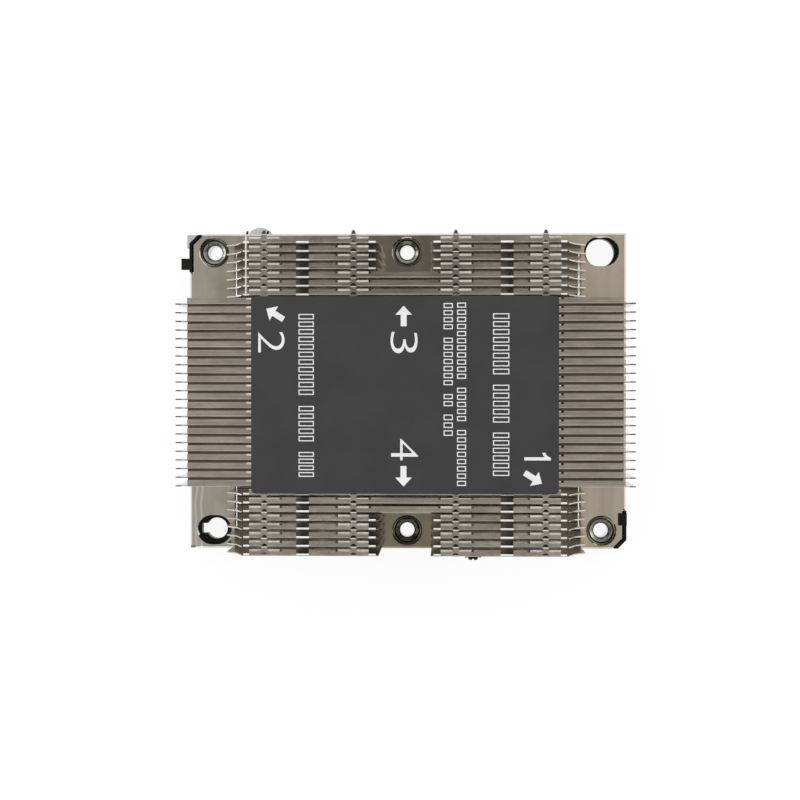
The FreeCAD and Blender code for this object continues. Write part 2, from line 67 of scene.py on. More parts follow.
def linearColour(hexCode):
    # sRGB hex to linear light: (c/12.92) below 0.04045, else ((c+0.055)/1.055) to the power 2.4
    parts = np.array([int(hexCode[i:i + 2], 16) for i in (0, 2, 4)]) / 255.0
    low = parts / 12.92
    high = ((parts + 0.055) / 1.055) ** 2.4
    return (*np.where(parts <= 0.04045, low, high), 1.0)


def addNode(tree, kind, inputs=(), stops=(), **settings):
    # settings are the node's own fields; inputs are a list by place or a dictionary by name, each a value,
    # an sRGB hex code, a node (its first live output) or a node with an output's name; stops fill a ramp
    node = tree.nodes.new("ShaderNode" + kind)
    for name, value in settings.items():
        setattr(node, name, value)
    live = [socket for socket in node.inputs if socket.enabled]
    for place, value in inputs.items() if isinstance(inputs, dict) else enumerate(inputs):
        socket = live[place] if isinstance(place, int) else next(s for s in live if s.name == place)
        named = isinstance(value, tuple) and isinstance(value[0], bpy.types.Node)
        source, output = value if named else (value, None)
        if isinstance(source, bpy.types.Node):
            start = next(s for s in source.outputs if s.enabled and output in (None, s.name))
            tree.links.new(start, socket)
        else:
            socket.default_value = linearColour(value) if isinstance(value, str) else value
    for number, (place, colour) in enumerate(stops):
        elements = node.color_ramp.elements
        stop = elements[number] if number < 2 else elements.new(place)
        stop.position = place
        stop.color = linearColour(colour) if isinstance(colour, str) else colour
    return node


def newMaterial(name):
    # an empty material, and the function that adds a node to it
    material = bpy.data.materials.new(name)
    material.use_nodes = True
    material.node_tree.nodes.clear()
    return material, functools.partial(addNode, material.node_tree)


def patternAt(add, perMm):
    # object coordinates, scaled so that perMm features fit in a millimetre along X, Y and Z
    return add("Mapping", {"Vector": (add("TexCoord"), "Object"), "Scale": [count / mm for count in perMm]})


# how a mix of share, first and second colour is made
blend = {"data_type": "RGBA", "blend_type": "MIX"}
multiply = {"data_type": "RGBA", "blend_type": "MULTIPLY"}


def metres(places):
    return [place * mm for place in places]


# Materials: a noise's three numbers are its scale, detail and roughness; a range's four are from and to, and
# the share at either end; names that end in X, Y or Z give in mm where along that axis a tone comes or goes

sheetLook = {
    "streaksPerMm": (0.10, 5.0, 5.0), "streakNoise": (1.0, 4.0, 0.6),
    "blotchesPerMm": (0.10, 0.35, 0.10), "blotchNoise": (1.0, 2.0, 0.5),
    "specksPerMm": (1.6, 1.6, 1.6), "speckNoise": (1.0, 2.0, 0.7),
    "cloud": [(0.35, "CCC5BC"), (0.65, "E2DBD2")], "lines": [(0.30, "D0D0D0"), (0.70, "FFFFFF")],
    "lineShare": 0.6, "speck": "8A8278", "speckRange": (0.68, 0.74, 0.0, 0.55),
    "glint": "F4F1EC", "glintRange": (0.24, 0.30, 0.7, 0.0),
    "topZ": (25.1, 25.2), "pressedY": (27.8, 28.2), "crimpShares": (0.15, 0.4),
    "crimpsPerMm": (0.55, 0.9, 0.3), "crimpNoise": (1.0, 3.0, 0.7),
    "creases": [(0.38, "B6B3AF"), (0.62, "FFFFFF")],
    # painted light: a bright tone for the faces between the rows
    "paintedInsideLight": "FCF9F4", "paintedInsideShare": 0.9, "pastWellX": (9.0, 10.5), "nearMiddleY": (27.6, 27.9),
    "shortReachX": (32.0, 38.0), "windowX": 24.0, "offWindowX": (1.8, 3.2), "longRowsY": (19.8, 20.2),
    # painted shade: a dark brown tone for the feet's outer ends
    "footShade": "3A3733", "footShadeShare": 0.85, "footZ": (5.4, 5.7), "footShadeX": (35.0, 44.0), "shadeEndX": (52.4, 52.8),
    # painted highlight on the row ends past the flange, and painted shade on the top's outer corner
    "endHighlight": "FFFFFF", "endHighlightShare": 0.8, "endHighlightX": (51.15, 51.35), "corner": "4C5054", "cornerShadeX": (52.5, 52.8),
    "roughFromTo": (0.25, 0.75), "roughness": (0.13, 0.22), "bumpShare": 0.35, "bumpMm": 0.003,
}


def nickelSheet():
    # nickel-plated drawn sheet: warm grey metal with fine lengthwise streaks, cloudy plating and specks
    look = sheetLook
    material, add = newMaterial("nickelPlatedFinSheet")
    streaks = add("TexNoise", [patternAt(add, look["streaksPerMm"]), *look["streakNoise"]])
    blotches = add("TexNoise", [patternAt(add, look["blotchesPerMm"]), *look["blotchNoise"]])
    specks = add("TexNoise", [patternAt(add, look["specksPerMm"]), *look["speckNoise"]])
    cloud = add("ValToRGB", [blotches], look["cloud"])
    lines = add("ValToRGB", [streaks], look["lines"])
    lined = add("Mix", [look["lineShare"], cloud, lines], **multiply)
    dots = add("MapRange", [specks, *look["speckRange"]])
    dotted = add("Mix", [dots, lined, look["speck"]], **blend)
    glints = add("MapRange", [specks, *look["glintRange"]])
    shiny = add("Mix", [glints, dotted, look["glint"]], **blend)
    parts = add("SeparateXYZ", [(add("TexCoord"), "Object")])
    outX = add("Math", [(parts, "X")], operation="ABSOLUTE")
    outY = add("Math", [(parts, "Y")], operation="ABSOLUTE")
    # the tops of the pressed short rows, which lie further out, are creased
    pressed = add("MapRange", [outY, *metres(look["pressedY"]), *look["crimpShares"]])
    onTop = add("MapRange", [(parts, "Z"), *metres(look["topZ"]), 0.0, 1.0])
    pressedTop = add("Math", [pressed, onTop], operation="MULTIPLY")
    crimps = add("TexNoise", [patternAt(add, look["crimpsPerMm"]), *look["crimpNoise"]])
    creases = add("ValToRGB", [crimps], look["creases"])
    creased = add("Mix", [pressedTop, shiny, creases], **multiply)
    # painted light: the faces between the rows are painted brighter, so that the gaps between rows look less
    # dark, but not beside the wells, at the windows or the outer ends
    within = add("MapRange", [(parts, "Z"), *metres(look["topZ"]), look["paintedInsideShare"], 0.0])
    pastWell = add("MapRange", [outX, *metres(look["pastWellX"]), 0.0, 1.0])
    nearMiddle = add("MapRange", [outY, *metres(look["nearMiddleY"]), 1.0, 0.0])
    besideWell = add("Math", [pastWell, nearMiddle], operation="MAXIMUM")
    shortReach = add("MapRange", [outX, *metres(look["shortReachX"]), 1.0, 0.0])
    offWindow = add("Math", [outX, look["windowX"] * mm], operation="SUBTRACT")
    fromWindow = add("Math", [offWindow], operation="ABSOLUTE")
    unpierced = add("MapRange", [fromWindow, *metres(look["offWindowX"]), 0.0, 1.0])
    covered = add("Math", [shortReach, unpierced], operation="MULTIPLY")
    shortSpan = add("Math", [besideWell, covered], operation="MULTIPLY")
    longRows = add("MapRange", [outY, *metres(look["longRowsY"]), 1.0, 0.0])
    span = add("Math", [shortSpan, longRows], operation="MAXIMUM")
    innermost = add("Math", [within, span], operation="MULTIPLY")
    insideLit = add("Mix", [innermost, creased, look["paintedInsideLight"]], **blend)
    # painted shade: the outer ends of the feet are darkened, stopping short of their very tips
    atFoot = add("MapRange", [(parts, "Z"), *metres(look["footZ"]), look["footShadeShare"], 0.0])
    atEnd = add("MapRange", [outX, *metres(look["footShadeX"]), 0.0, 1.0])
    shortOfTip = add("MapRange", [outX, *metres(look["shadeEndX"]), 1.0, 0.0])
    shadedSpan = add("Math", [atEnd, shortOfTip], operation="MULTIPLY")
    footShaded = add("Math", [atFoot, shadedSpan], operation="MULTIPLY")
    footShadedColour = add("Mix", [footShaded, insideLit, look["footShade"]], **blend)
    # painted highlight: past its top flange a long row's top and foot edges are painted bright; painted
    # shade: the top's outermost corner is painted dark
    pastFlange = add("MapRange", [outX, *metres(look["endHighlightX"]), 0.0, look["endHighlightShare"]])
    topOrFoot = add("Math", [onTop, atFoot], operation="MAXIMUM")
    highlightedEnds = add("Math", [topOrFoot, pastFlange], operation="MULTIPLY")
    endHighlighted = add("Mix", [highlightedEnds, footShadedColour, look["endHighlight"]], **blend)
    atCorner = add("MapRange", [outX, *metres(look["cornerShadeX"]), 0.0, 1.0])
    shadedCornerTop = add("Math", [onTop, atCorner], operation="MULTIPLY")
    colour = add("Mix", [shadedCornerTop, endHighlighted, look["corner"]], **blend)
    rough = add("MapRange", [streaks, *look["roughFromTo"], *look["roughness"]])
    bump = add("Bump", {"Strength": look["bumpShare"], "Distance": look["bumpMm"] * mm, "Height": streaks})
    shader = add("BsdfPrincipled",
                 {"Base Color": colour, "Metallic": 1.0, "Roughness": rough, "Normal": bump})
    add("OutputMaterial", [shader])
    return material


plateLook = {
    "streaksPerMm": (0.30, 0.04, 0.3), "streakNoise": (1.0, 3.0, 0.55),
    "blotchesPerMm": (0.09, 0.09, 0.09), "blotchNoise": (1.0, 3.0, 0.6),
    "grainPerMm": (0.5, 0.12, 0.5), "grainNoise": (1.0, 3.0, 0.7),
    "huesPerMm": (0.12, 0.03, 0.1), "hueNoise": (1.0, 1.0, 0.5),
    "tone": [(0.32, "D6CFC5"), (0.68, "EBE4DB")], "hue": [(0.4, "F9F8F2"), (0.6, "FCF8F4")],
    "stain": "C6BDAF", "stainRange": (0.52, 0.70, 0.0, 0.5),
    "sideX": (-40.0, 40.0), "leftTint": "F3F9FF", "rightTint": "FFFFFF",
    "wellX": (7.5, 10.5), "wellY": (-29.0, -27.0), "wellTint": "8A8274", "wellShade": 0.75,
    "markX": (-52.7, -51.3), "markY": (-22.0, -19.0), "markWidthMm": (0.05, 0.35),
    "markTint": "FFFFFF", "markShare": 0.75,
    "swayPerMm": (0.0, 0.06, 0.0), "swayNoise": (1.0, 2.0, 0.5), "swayMm": (-2.0, 2.0),
    "scuffMm": (-53.3, -38.75, 0.0), "scuffStretch": (1.0, 2.2, 0.0), "scuffReachMm": (0.7, 1.1),
    "scuffTint": "4A4641", "scuffShare": 0.85,
    "raggedPerMm": (1.2, 1.2, 1.2), "raggedNoise": (1.0, 3.0, 0.7),
    "raggedFromTo": (0.3, 0.7), "raggedMm": (-0.6, 0.6),
    "roughFromTo": (0.3, 0.7), "roughness": (0.07, 0.13), "bumpShare": 0.3, "bumpMm": 0.004,
}


def nickelPlate():
    # satin nickel on a ground plate: broad streaks across the fins, faint stains, fine grain
    look = plateLook
    material, add = newMaterial("nickelPlatedBase")
    streaks = add("TexNoise", [patternAt(add, look["streaksPerMm"]), *look["streakNoise"]])
    blotches = add("TexNoise", [patternAt(add, look["blotchesPerMm"]), *look["blotchNoise"]])
    grain = add("TexNoise", [patternAt(add, look["grainPerMm"]), *look["grainNoise"]])
    tone = add("ValToRGB", [streaks], look["tone"])
    stains = add("MapRange", [blotches, *look["stainRange"]])
    stained = add("Mix", [stains, tone, look["stain"]], **blend)
    hues = add("TexNoise", [patternAt(add, look["huesPerMm"]), *look["hueNoise"]])
    hue = add("ValToRGB", [hues], look["hue"])
    hued = add("Mix", [1.0, stained, hue], **multiply)
    where = add("TexCoord")
    parts = add("SeparateXYZ", [(where, "Object")])
    # cooler on the left, and shaded in the lower well between the fins
    sides = add("MapRange", [(parts, "X"), *metres(look["sideX"]), 0.0, 1.0])
    sideTone = add("Mix", [sides, look["leftTint"], look["rightTint"]], **blend)
    toned = add("Mix", [1.0, hued, sideTone], **multiply)
    outX = add("Math", [(parts, "X")], operation="ABSOLUTE")
    inWell = add("MapRange", [outX, *metres(look["wellX"]), look["wellShade"], 0.0])
    lowWell = add("MapRange", [(parts, "Y"), *metres(look["wellY"]), 1.0, 0.0])
    welled = add("Math", [inWell, lowWell], operation="MULTIPLY")
    marked = add("Mix", [welled, toned, look["wellTint"]], **blend)
    # two pale handling marks beside the left edge, below the fins, swaying along Y
    sway = add("TexNoise", [patternAt(add, look["swayPerMm"]), *look["swayNoise"]])
    swayMetres = add("MapRange", [sway, 0.0, 1.0, *metres(look["swayMm"])])
    swayed = add("Math", [(parts, "X"), swayMetres], operation="ADD")
    below = add("MapRange", [(parts, "Y"), *metres(look["markY"]), look["markShare"], 0.0])
    for place in look["markX"]:
        offset = add("Math", [swayed, place * mm], operation="SUBTRACT")
        apart = add("Math", [offset], operation="ABSOLUTE")
        close = add("MapRange", [apart, *metres(look["markWidthMm"]), 1.0, 0.0])
        mark = add("Math", [close, below], operation="MULTIPLY")
        marked = add("Mix", [mark, marked, look["markTint"]], **blend)
    # a dark scuff on the lower left corner, its outline broken by noise
    fromScuff = add("VectorMath", [(where, "Object"), metres(look["scuffMm"])], operation="SUBTRACT")
    squeezed = add("VectorMath", [fromScuff, look["scuffStretch"]], operation="MULTIPLY")
    reach = add("VectorMath", [squeezed], operation="LENGTH")
    ragged = add("TexNoise", [patternAt(add, look["raggedPerMm"]), *look["raggedNoise"]])
    raggedMetres = add("MapRange", [ragged, *look["raggedFromTo"], *metres(look["raggedMm"])])
    edge = add("Math", [reach, raggedMetres], operation="ADD")
    scuff = add("MapRange", [edge, *metres(look["scuffReachMm"]), look["scuffShare"], 0.0])
    colour = add("Mix", [scuff, marked, look["scuffTint"]], **blend)
    rough = add("MapRange", [blotches, *look["roughFromTo"], *look["roughness"]])
    bump = add("Bump", {"Strength": look["bumpShare"], "Distance": look["bumpMm"] * mm, "Height": grain})
    shader = add("BsdfPrincipled",
                 {"Base Color": colour, "Metallic": 1.0, "Roughness": rough, "Normal": bump})
    add("OutputMaterial", [shader])
    return material


nutLook = {
    "spacingXMm": 48.0, "rowYMm": 34.5, "farMm": 4.4, "boreWallMm": (1.8, 1.9),
    "ringsPerMm": 5.0, "ringNoise": {"Scale": 1.0, "Detail": 2.0},
    "rings": [(0.3, "B4B2AC"), (0.7, "DCDAD4")],
    # radius in mm and tint, from the thread outwards, for the corner nuts and the nuts between the fins:
    # painted light and shade on the bore, gap, dished face and rim, the thread painted white like the
    # background seen through it
    "cornerLightAndShade": [(0.0, "FFFFFF"), (1.80, "FFFFFF"), (1.87, "7E7D78"), (2.1, "7E7D78"), (2.3, "ACABA6"),
                    (2.75, "BDBCB6"), (2.92, "6A6964"), (3.72, "6A6964"), (3.82, "94928C")],
    "middleLightAndShade": [(0.0, "FFFFFF"), (1.80, "FFFFFF"), (1.87, "66655F"), (2.05, "66655F"), (2.2, "A9A8A2"),
                    (2.7, "A9A8A2"), (2.92, "55544F"), (3.76, "55544F"), (3.86, "8A8882")],
    # radius in mm and share of the dish's depth: the face slopes up to the rim
    "dish": [(0.0, "000000"), (2.0, "000000"), (2.85, "FFFFFF"), (3.2, "FFFFFF")],
    # painted shade for the nut in the lower well
    "dishMm": 0.30, "ringShare": 0.02, "lowWellShade": "C0BBB2",
    "roughFromTo": (0.3, 0.7), "roughness": (0.12, 0.22),
}


def turnedSteel():
    # bright zinc on turned steel: fine rings and a dished face round each nut's own axis, with painted light
    # and shade in rings about it
    look = nutLook
    material, add = newMaterial("zincPlatedTurnedSteel")
    parts = add("SeparateXYZ", [(add("TexCoord"), "Object")])
    spacing = look["spacingXMm"] * mm
    # distance from the nearest nut's axis
    shifted = add("Math", [(parts, "X"), spacing / 2], operation="ADD")
    nearest = add("Math", [shifted, spacing], operation="SNAP")
    offX = add("Math", [(parts, "X"), nearest], operation="SUBTRACT")
    outY = add("Math", [(parts, "Y")], operation="ABSOLUTE")
    offY = add("Math", [outY, look["rowYMm"] * mm], operation="SUBTRACT")
    flat = add("CombineXYZ", [offX, offY])
    radius = add("VectorMath", [flat], operation="LENGTH")
    outward = add("MapRange", [radius, 0.0, look["farMm"] * mm, 0.0, 1.0])
    turns = add("Math", [radius, look["ringsPerMm"] / mm], operation="MULTIPLY")
    ring = add("TexNoise", {"W": turns, **look["ringNoise"]}, noise_dimensions="1D")
    bright = add("ValToRGB", [ring], look["rings"])
    # painted light and shade by radius, and the dish's depth
    corner, middle, dish = (
        add("ValToRGB", [outward], [(place / look["farMm"], tint) for place, tint in look[name]])
        for name in ("cornerLightAndShade", "middleLightAndShade", "dish"))
    outX = add("Math", [(parts, "X")], operation="ABSOLUTE")
    isMiddle = add("Math", [outX, spacing / 2], operation="LESS_THAN")
    tint = add("Mix", [isMiddle, corner, middle], **blend)
    # painted shade: the nut in the lower well is darkened outside its bore
    isLow = add("Math", [(parts, "Y"), 0.0], operation="LESS_THAN")
    offBore = add("MapRange", [radius, *metres(look["boreWallMm"]), 0.0, 1.0])
    inLowWell = add("Math", [isMiddle, isLow], operation="MULTIPLY")
    lowWellShade = add("Math", [inLowWell, offBore], operation="MULTIPLY")
    shaded = add("Mix", [lowWellShade, tint, look["lowWellShade"]], **multiply)
    colour = add("Mix", [1.0, bright, shaded], **multiply)
    rough = add("MapRange", [ring, *look["roughFromTo"], *look["roughness"]])
    height = add("Math", [ring, look["ringShare"], dish], operation="MULTIPLY_ADD")
    bump = add("Bump", {"Strength": 1.0, "Distance": look["dishMm"] * mm, "Height": height})
    shader = add("BsdfPrincipled",
                 {"Base Color": colour, "Metallic": 1.0, "Roughness": rough, "Normal": bump})
    add("OutputMaterial", [shader])
    return material


simpleLook = {
    "mottlePerGrain": 0.1, "mottleNoise": (1.0, 2.0, 0.5), "mottleFromTo": (0.35, 0.65),
    "grainNoise": (1.0, 3.0, 0.6), "roughFromTo": (0.3, 0.7), "bumpShare": 0.4,
}


def simpleSurface(name, darkHex, lightHex, grainPerMm, roughness, bumpMm, values):
    # a plain material with a mottled colour and a fine grain of its own
    look = simpleLook
    material, add = newMaterial(name)
    mottlePerMm = [count * look["mottlePerGrain"] for count in grainPerMm]
    mottle = add("TexNoise", [patternAt(add, mottlePerMm), *look["mottleNoise"]])
    grain = add("TexNoise", [patternAt(add, grainPerMm), *look["grainNoise"]])
    colour = add("ValToRGB", [mottle], zip(look["mottleFromTo"], (darkHex, lightHex)))
    rough = add("MapRange", [grain, *look["roughFromTo"], *roughness])
    bump = add("Bump", {"Strength": look["bumpShare"], "Distance": bumpMm * mm, "Height": grain})
    shader = add("BsdfPrincipled", {"Base Color": colour, "Roughness": rough, "Normal": bump, **values})
    add("OutputMaterial", [shader])
    return material


springSteel = simpleSurface(  # phosphated spring steel: dull dark grey metal
    "phosphatedSpringSteel", "3F3E3C", "55534F", (3.0, 3.0, 3.0), (0.4, 0.55), 0.004,
    {"Metallic": 1.0})
mouldedPlastic = simpleSurface(  # black nylon, moulded: soft sheen on a fine spark-eroded grain
    "mouldedBlackNylon", "050505", "0A0908", (3.0, 3.0, 3.0), (0.26, 0.36), 0.01,
    {"IOR": 1.53, "Specular IOR Level": 0.25})
clearFilm = simpleSurface(  # thermoformed PET: milky clear film with a glossy skin, its grey-green tint partly the film's own and partly painted shade and reflection from the plate beneath
    "thermoformedClearFilm", "BFC3BB", "D2D5CF", (0.6, 0.6, 0.6), (0.12, 0.25), 0.01,
    {"IOR": 1.57, "Transmission Weight": 0.55})
thermalPaste = simpleSurface(  # printed silicone paste: soft grey with a stippled skin
    "printedThermalPaste", "7C7E7E", "8E9090", (1.5, 1.5, 1.5), (0.5, 0.65), 0.03,
    {"IOR": 1.43})
labelFilm = simpleSurface(  # matt polyester film: dark grey, almost even
    "mattPolyesterLabel", "272728", "2C2B2C", (1.2, 1.2, 1.2), (0.5, 0.58), 0.004,
    {"IOR": 1.46})
labelInk = simpleSurface(  # screen-printed white ink
    "screenPrintedWhiteInk", "C9CACA", "D2D2D2", (2.0, 2.0, 2.0), (0.45, 0.55), 0.004,
    {"IOR": 1.5})
slitShadeSheet = simpleSurface(  # painted shade: dull brown-black nickel-plated sheet standing in for the shade in the slits between rows
    "paintedSlitShade", "564A40", "64574C", (1.0, 1.0, 1.0), (0.4, 0.5), 0.003,
    {"Metallic": 1.0})
edgeHighlightMetal = simpleSurface(  # painted highlight: edge metal brighter and smoother than the flat sheet, for bends and rims that catch the light
    "paintedEdgeHighlight", "EAE7E2", "FDFBF8", (2.0, 6.0, 6.0), (0.10, 0.22), 0.003,
    {"Metallic": 1.0})
finMetal = nickelSheet()
plateMetal = nickelPlate()
nutMetal = turnedSteel()
print("materials made")


def dressNode(name, material):
    # give a carried-over node its finished material
    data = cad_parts[name].data
    data.materials.clear()
    data.materials.append(material)


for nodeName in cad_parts:
    if nodeName.startswith("fin_"):
        dressNode(nodeName, finMetal)
    elif nodeName.startswith("captive_nut"):
        dressNode(nodeName, nutMetal)
    elif nodeName.startswith("retaining_ring"):
        dressNode(nodeName, springSteel)
dressNode("base_plate", plateMetal)
dressNode("carrier_frame", mouldedPlastic)
dressNode("paste_cover", clearFilm)
dressNode("thermal_paste", thermalPaste)
dressNode("label", labelFilm)
print("nodes dressed")


# Mesh building

def meshObject(name, points, faces, material):
    data = bpy.data.meshes.new(name)
    data.from_pydata([tuple(point) for point in np.asarray(points).tolist()], [], faces)
    data.validate()
    data.update()
    data.materials.append(material)
    piece = bpy.data.objects.new(name, data)
    bpy.context.collection.objects.link(piece)
    return piece


def gridFaces(rows, columns, wrap):
    # quads over a grid of rows by columns; with wrap the last column meets the first
    row, column = np.meshgrid(np.arange(rows - 1), np.arange(columns if wrap else columns - 1), indexing="ij")
    ahead = (column + 1) % columns
    quads = np.stack([row * columns + column, row * columns + ahead,
                      (row + 1) * columns + ahead, (row + 1) * columns + column], axis=-1)
    return quads.reshape(-1, 4).tolist()


class Gathered:
    # points in metres and faces of many like shapes, gathered into one piece on the heatsink's body
    def __init__(self):
        self.points = []
        self.faces = []
        self.count = 0

    def add(self, points, faces):
        self.points.append(points)
        self.faces += [[self.count + i for i in face] for face in faces]
        self.count += len(points)

    def addWalls(self, first, second, flipped=False):
        # two like rings of points joined by walls and closed by caps
        number = len(first)
        faces = [list(range(number))[::-1], list(range(number, 2 * number))] + gridFaces(2, number, True)
        self.add(np.concatenate([first, second]), [face[::-1] for face in faces] if flipped else faces)

    def addStrip(self, lowX, highX, backY, topZ, section):
        # one section laid along X: y = back + depth, z = top - drop
        depth, drop = np.array(section).T
        ends = [np.column_stack([np.full(len(depth), x), backY + depth, topZ - drop]) for x in (lowX, highX)]
        self.addWalls(*(end * mm for end in ends), flipped=True)

    def addBead(self, placeX, lowY, highY, baseZ, radius, rise, steps):
        # a low half-round bead along Y: x = place + radius cos t, z = base + rise sin t
        turn = np.linspace(0, math.pi, steps)
        ring = np.column_stack([placeX + radius * np.cos(turn), np.zeros(steps), baseZ + rise * np.sin(turn)])
        self.addWalls(*((ring + [0, y, 0]) * mm for y in (lowY, highY)), flipped=True)

    def finish(self, name, material, slot):
        piece = meshObject(name, np.concatenate(self.points), self.faces, material)
        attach(piece, "heatsink")
        return piece


def boxMm(name):
    # a node's low and high corners in millimetres
    return [np.array(corner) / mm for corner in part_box(name)]


# What is left of the bend where a fin's flange is cut away

remainLook = {
    # section from the sheet's back towards the front: depth and drop in mm
    "section": [(0.10, 0.004), (0.28, 0.03), (0.46, 0.12), (0.60, 0.25), (0.62, 0.42),
                (0.50, 0.40), (0.42, 0.30), (0.30, 0.24), (0.12, 0.20)],
    # stretches along X, from the middle outwards
    "flangeEnd": 36.6, "sheetTopEnd": 38.0, "wellSheetEnd": 6.8, "wellFlangeEnd": 8.45, "longRowsFrom": 45.0,
    "window": (22.5, 25.5), "tabs": (12.0, 33.05), "tabHalf": 0.6, "tabBack": 0.30,
    "tabSection": [(0.0, -0.01), (0.14, -0.03), (0.28, 0.04), (0.38, 0.18), (0.32, 0.24), (0.0, 0.10)],
    # pressed lips on the flange's front edge, on both sides of each tab
    "lips": [(8.45, 11.1), (12.9, 15.65), (29.4, 32.1), (34.0, 36.6)],
    "lipSection": [(1.00, 0.02), (1.04, -0.06), (1.10, -0.068), (1.18, -0.055), (1.30, -0.018), (1.42, 0.025),
                   (1.53, 0.075), (1.62, 0.14), (1.64, 0.30), (1.56, 0.34), (1.40, 0.12), (1.15, 0.03)],
    # beside the label: a lip on the long rows' left, and a strip that closes the slit between two rows,
    # coloured dark as painted shade
    "labelLip": (-37.3, -36.1), "shadeSeam": (36.2, 51.2), "shadeSeamsBelowY": 20.0,
    "shadeSeamSection": [(1.58, 0.60), (2.06, 0.60), (2.06, 0.75), (1.58, 0.75)],
    "labelMargin": 0.5,
}


def isOpen(y):
    # true where the label leaves a row's tabs in sight
    low, high = boxMm("label")
    return not low[1] - remainLook["labelMargin"] < y < high[1] + remainLook["labelMargin"]


def makeBendRemains():
    look = remainLook
    strips, lips, shadeSeams = Gathered(), Gathered(), Gathered()
    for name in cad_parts:
        if not name.startswith("fin_"):
            continue
        low, high = boxMm(name)
        isLong = high[0] > look["longRowsFrom"]
        tabs, lipStretches = (look["tabs"], look["lips"]) if isOpen(high[1]) else ((), ())
        sides = [side for side in (-1, 1) if max(low[0] * side, high[0] * side) > look["flangeEnd"]]
        stretches = [look["window"]]
        if max(-low[0], high[0]) < look["longRowsFrom"]:
            stretches.append((look["flangeEnd"], look["sheetTopEnd"]))
        if len(sides) == 1:
            stretches.append((look["wellSheetEnd"], look["wellFlangeEnd"]))
        for side in sides:
            for near, far in stretches:
                strips.addStrip(*sorted((near * side, far * side)), low[1], high[2], look["section"])
            for near, far in lipStretches:
                lips.addStrip(*sorted((near * side, far * side)), low[1], high[2], look["lipSection"])
            if isLong and low[1] < look["shadeSeamsBelowY"]:
                near, far = look["shadeSeam"]
                shadeSeams.addStrip(*sorted((near * side, far * side)), low[1], high[2], look["shadeSeamSection"])
            if isLong and side < 0:
                lips.addStrip(*look["labelLip"], low[1], high[2], look["lipSection"])
            for middle in tabs:
                near, far = (middle - look["tabHalf"]) * side, (middle + look["tabHalf"]) * side
                strips.addStrip(*sorted((near, far)), high[1] - look["tabBack"], high[2], look["tabSection"])
    # painted highlight: the bend remains take the bright edge metal
    strips.finish("bendRemains", edgeHighlightMetal, "fin_plate")
    lips.finish("pressedLips", finMetal, "fin_plate")
    shadeSeams.finish("slitShadeSeams", slitShadeSheet, "fin_plate")


makeBendRemains()
print("bend remains made")


footRimLook = {"places": (-42.3, 42.3), "rows": [(3, 7), (30, 34)], "footThick": 0.3, "footDepth": 1.6,
               "radius": 0.19, "flatness": 0.6, "steps": 9}


def makeFootRims():
    # a low bead over the outer ends of the foot flanges, in the bright edge metal as a painted highlight
    look = footRimLook
    rims = Gathered()
    footTop = boxMm("base_plate")[1][2] + look["footThick"]
    for first, last in look["rows"]:
        for place in look["places"]:
            ending = "_left" if place < 0 else "_right"
            names = [f"fin_{row:02d}" for row in range(first, last + 1)]
            backs = [boxMm(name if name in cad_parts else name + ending)[0][1] for name in names]
            rims.addBead(place, min(backs), max(backs) + look["footDepth"], footTop,
                         look["radius"], look["radius"] * look["flatness"], look["steps"])
    rims.finish("footRims", edgeHighlightMetal, "fin_plate")


makeFootRims()
print("foot rims made")


# Rims, tips and marks

seatRimLook = {
    # radius and height in mm
    "section": [(3.47, 4.24), (3.70, 4.40), (3.93, 4.512), (3.93, 4.49), (3.70, 4.36), (3.47, 4.18)],
    "steps": 72,
}


def makeSeatRims():
    # the bright cone round each nut: a closed section turned about the nut's axis, x = r cos t, y = r sin t
    look = seatRimLook
    rims = Gathered()
    radius, height = (column[:, None] for column in np.array(look["section"]).T)
    angle = np.linspace(0, 2 * math.pi, look["steps"], endpoint=False)
    rows, columns = len(radius), len(angle)
    last = (rows - 1) * columns
    faces = gridFaces(rows, columns, True)
    faces += [[last + i, last + (i + 1) % columns, (i + 1) % columns, i] for i in range(columns)]
    for number in range(1, 5):
        low, high = boxMm(f"captive_nut_{number}")
        middle = (low + high) / 2
        ring = np.stack([middle[0] + radius * np.cos(angle), middle[1] + radius * np.sin(angle),
                         np.broadcast_to(height, (rows, columns))], axis=-1)
        rims.add(ring.reshape(-1, 3) * mm, [face[::-1] for face in faces])
    rims.finish("seatRims", nutMetal, "nut_steel").data.shade_smooth()


makeSeatRims()

tipLook = {"places": (-33.05, -12.0, 12.0, 33.05), "halfWidth": 0.5, "reach": 0.64, "endReach": 1.0,
           "drop": 0.8, "thick": 0.25, "overlap": 0.05, "sink": 0.02, "steps": 9}


def makeTabTips():
    # dark tab ends turned down into the arches, in the dark spring-steel material as painted shade: x = w cos
    # t, y = reach sin t, z = -drop sin t squared
    look = tipLook
    tips = Gathered()
    turn = np.linspace(0, math.pi, look["steps"])
    along = np.sin(turn)
    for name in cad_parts:
        if not name.startswith("fin_"):
            continue
        low, high = boxMm(name)
        reach = look["endReach"] if name.startswith("fin_01") else look["reach"]
        for place in look["places"]:
            if isOpen(high[1]) and low[0] < place < high[0]:
                upper = np.column_stack([place + look["halfWidth"] * np.cos(turn),
                                         high[1] - look["overlap"] + reach * along,
                                         high[2] - look["sink"] - look["drop"] * along ** 2])
                tips.addWalls((upper - [0, 0, look["thick"]]) * mm, upper * mm)
    tips.finish("shadedTabTips", springSteel, "fin_plate")


makeTabTips()

markLook = {"places": (-40.5, -35.3), "wide": 0.5, "deep": 0.9, "lean": 0.2, "nearY": 39.35,
            "heights": (-0.9, -0.4)}


